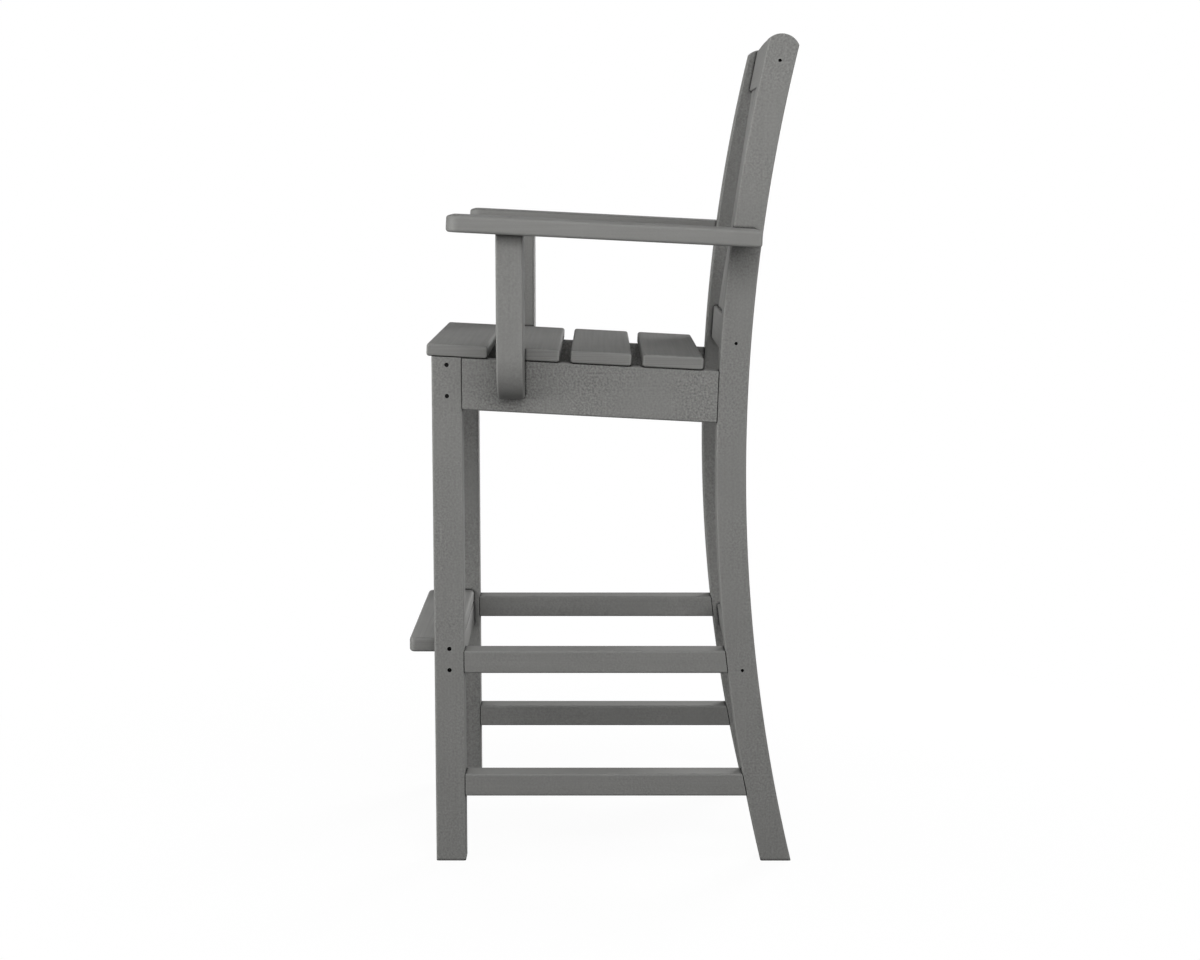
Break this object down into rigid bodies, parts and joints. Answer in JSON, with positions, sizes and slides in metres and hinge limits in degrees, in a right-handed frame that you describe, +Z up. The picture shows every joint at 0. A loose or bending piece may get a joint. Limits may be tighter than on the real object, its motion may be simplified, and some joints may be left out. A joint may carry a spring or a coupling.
{
  "type": "bar armchair",
  "caption": "Tall slatted armchair of flat boards, with swept back legs, an arched top rail, broad arms and a footrest board between its front legs.",
  "frame": {"origin": "on the floor, in the middle of the chair's footprint from side to side and from the footrest's front to the back feet's rear", "axes": "+Z up, +X to the sitter's left, so the chair faces -Y"},
  "size_m": [0.7152, 0.573, 1.2268],
  "materials": {
    "lumber": "satin slate grey lumber",
    "screws": "black oxide"
  },
  "bodies": {
    "root": {"left_front_leg": "lumber", "right_front_leg": "lumber", "left_back_leg": "lumber", "right_back_leg": "lumber", "left_side_rail": "lumber", "right_side_rail": "lumber", "front_apron": "lumber", "left_upper_stretcher": "lumber", "right_upper_stretcher": "lumber", "left_lower_stretcher": "lumber", "right_lower_stretcher": "lumber", "front_stretcher": "lumber", "rear_stretcher": "lumber", "footrest": "lumber", "seat_slat_1": "lumber", "seat_slat_2": "lumber", "seat_slat_3": "lumber", "seat_slat_4": "lumber", "lower_back_rail": "lumber", "top_rail": "lumber", "back_slat_1": "lumber", "back_slat_2": "lumber", "back_slat_3": "lumber", "back_slat_4": "lumber", "back_slat_5": "lumber", "left_arm_post": "lumber", "right_arm_post": "lumber", "left_arm": "lumber", "right_arm": "lumber", "apron_screws": "screws", "front_stretcher_screws": "screws", "footrest_screws": "screws", "rear_stretcher_screws": "screws", "lower_back_rail_screws": "screws", "top_rail_screws": "screws", "side_rail_screws": "screws", "side_stretcher_screws": "screws", "seat_slat_screws": "screws", "arm_post_screws": "screws", "arm_screws": "screws"}
  },
  "joints": []
}
